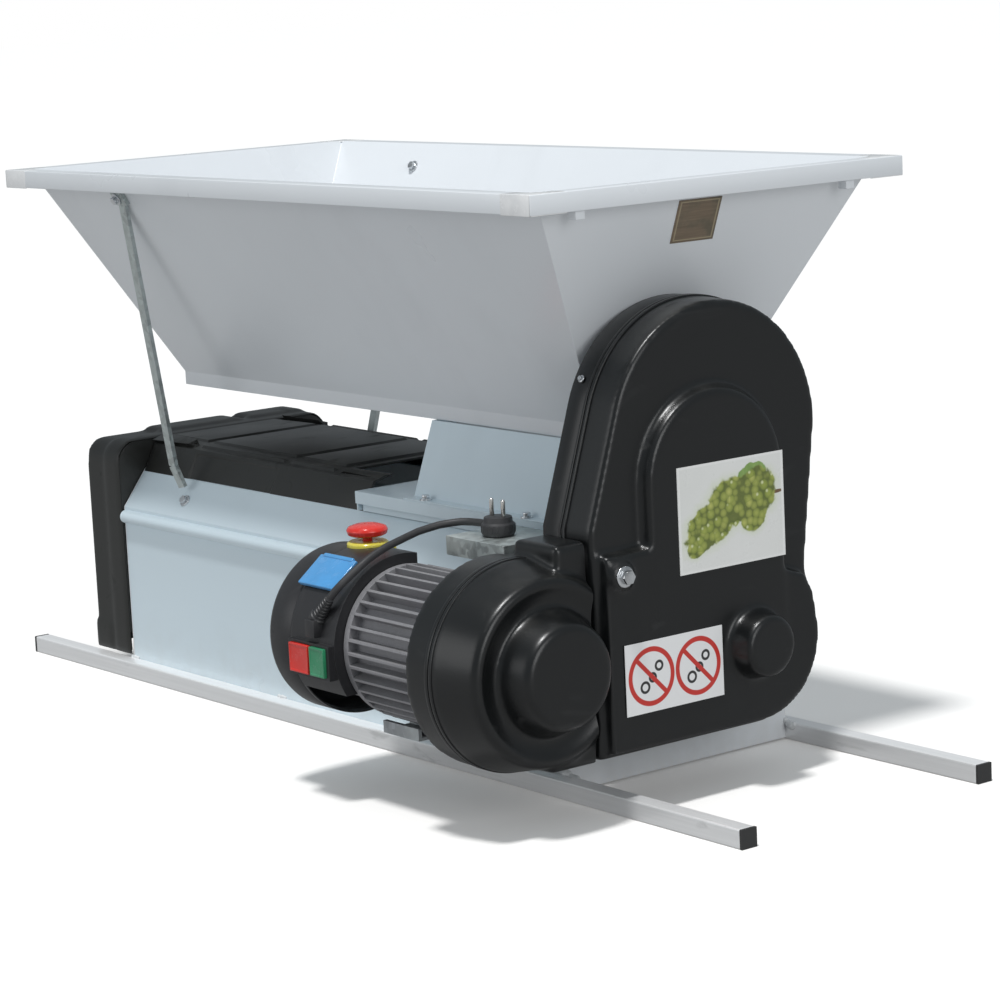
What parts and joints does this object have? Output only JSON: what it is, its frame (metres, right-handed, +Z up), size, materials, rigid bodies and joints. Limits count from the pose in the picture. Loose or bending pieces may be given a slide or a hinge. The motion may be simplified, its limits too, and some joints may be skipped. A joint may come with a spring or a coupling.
{
  "type": "grape crusher destemmer",
  "caption": "Motor-driven grape crusher and destemmer: a long hopper with feed auger over fluted rollers, beater shaft in a perforated cage, belt drive under moulded covers.",
  "frame": {"origin": "on the floor, under the centre of the model's box", "axes": "+X along the rails from the stem outlet to the belt covers, +Y to the rear away from the motor, +Z up"},
  "size_m": [1.336, 0.6115, 0.6235],
  "materials": {
    "rail_steel": "satin",
    "cap_plastic": "matte",
    "white_paint": "gloss",
    "stainless": "brushed",
    "white_plastic": "gloss",
    "galvanised": "satin",
    "zinc_bolts": "satin",
    "brass_plate": "satin",
    "black_cover": "satin",
    "charcoal_cover": "matte",
    "plate_steel": "satin",
    "bearing_iron": "painted",
    "grape_label": "gloss",
    "safety_label": "gloss",
    "belt_rubber": "matte",
    "motor_grey": "satin",
    "black_plastic": "satin",
    "blue_plastic": "gloss",
    "yellow_plastic": "gloss",
    "cord_rubber": "matte",
    "nickel_pins": "polished",
    "beater_rubber": "matte",
    "pulley_iron": "turned",
    "core_steel": "laminated",
    "shaft_steel": "turned",
    "roller_aluminium": "cast",
    "gear_steel": "oiled",
    "auger_steel": "satin",
    "red_plastic": "gloss",
    "green_plastic": "gloss"
  },
  "bodies": {
    "frame": {"rail_front": "rail_steel", "rail_rear": "rail_steel", "rail_end_caps": "cap_plastic", "body_front_panel": "white_paint", "body_rear_panel": "white_paint", "stem_end_plate": "white_paint", "drive_end_plate": "white_paint", "destemming_cage": "stainless", "crusher_box": "white_paint", "feed_chute": "white_paint", "hopper": "white_paint", "hopper_corner_caps": "white_plastic", "strut_front": "galvanised", "strut_rear": "galvanised", "frame_bolts": "zinc_bolts", "rating_plate": "brass_plate", "stem_cover": "charcoal_cover", "stem_outlet": "charcoal_cover", "transmission_plate": "plate_steel", "plate_spacers": "zinc_bolts", "flange_bearings": "bearing_iron", "rotor_end_bearing": "bearing_iron", "cover_back_shell": "black_cover", "belt_cover": "black_cover", "motor_cover": "black_cover", "cover_fasteners": "zinc_bolts", "grape_label": "grape_label", "safety_label": "safety_label", "drive_belt": "belt_rubber", "roller_belt": "belt_rubber", "motor_body": "motor_grey", "motor_stator": "core_steel", "fan_cowl": "black_plastic", "motor_end_shield": "motor_grey", "motor_cradle": "plate_steel", "motor_tie_bracket": "galvanised", "switch_box": "black_plastic", "switch_flap": "blue_plastic", "stop_switch_base": "yellow_plastic", "cable_gland": "black_plastic", "power_cord": "cord_rubber", "plug_body": "cord_rubber", "plug_pins": "nickel_pins"},
    "beater_rotor": {"beater_shaft": "stainless", "beater_pins": "beater_rubber", "beater_pulleys": "pulley_iron"},
    "motor_rotor": {"motor_shaft": "shaft_steel", "rotor_core": "core_steel", "motor_pulley": "pulley_iron", "cooling_fan": "black_plastic"},
    "front_roller": {"drive_roller": "roller_aluminium", "roller_pulley": "pulley_iron", "drive_roller_gear": "gear_steel"},
    "rear_roller": {"idle_roller": "roller_aluminium", "idle_roller_gears": "gear_steel"},
    "auger": {"feed_auger": "auger_steel", "auger_gear": "gear_steel"},
    "stop_key": {"stop_button": "red_plastic"},
    "start_key": {"start_button": "green_plastic"},
    "emergency_key": {"emergency_button": "red_plastic"}
  },
  "joints": [
    {"name": "beater_spin", "type": "hinge", "parent": "frame", "child": "beater_rotor", "pos_m": [-0.015, 0.05725, 0.15], "axis": [1, 0, 0], "continuous": true},
    {"name": "motor_spin", "type": "hinge", "parent": "frame", "child": "motor_rotor", "pos_m": [-0.015, -0.19875, 0.162], "axis": [1, 0, 0], "continuous": true},
    {"name": "front_roller_spin", "type": "hinge", "parent": "frame", "child": "front_roller", "pos_m": [-0.015, 0.01925, 0.33], "axis": [1, 0, 0], "continuous": true},
    {"name": "rear_roller_spin", "type": "hinge", "parent": "frame", "child": "rear_roller", "pos_m": [-0.015, 0.09525, 0.33], "axis": [1, 0, 0], "continuous": true},
    {"name": "auger_spin", "type": "hinge", "parent": "frame", "child": "auger", "pos_m": [-0.015, 0.05725, 0.408], "axis": [1, 0, 0], "continuous": true},
    {"name": "stop_press", "type": "slide", "parent": "frame", "child": "stop_key", "axis": [0, 1, 0], "range_m": [0, 0.003], "stiffness_N_per_m": 300, "springref_m": -0.001},
    {"name": "start_press", "type": "slide", "parent": "frame", "child": "start_key", "axis": [0, 1, 0], "range_m": [0, 0.003], "stiffness_N_per_m": 300, "springref_m": -0.001},
    {"name": "emergency_press", "type": "slide", "parent": "frame", "child": "emergency_key", "axis": [0, 0, -1], "range_m": [0, 0.005], "stiffness_N_per_m": 400, "springref_m": -0.003}
  ],
  "couplings": [
    {"joint": "motor_spin", "follows": "beater_spin", "ratio": 2.0435},
    {"joint": "front_roller_spin", "follows": "beater_spin", "ratio": 0.29954},
    {"joint": "rear_roller_spin", "follows": "beater_spin", "ratio": -0.29954},
    {"joint": "auger_spin", "follows": "beater_spin", "ratio": 0.14977}
  ]
}
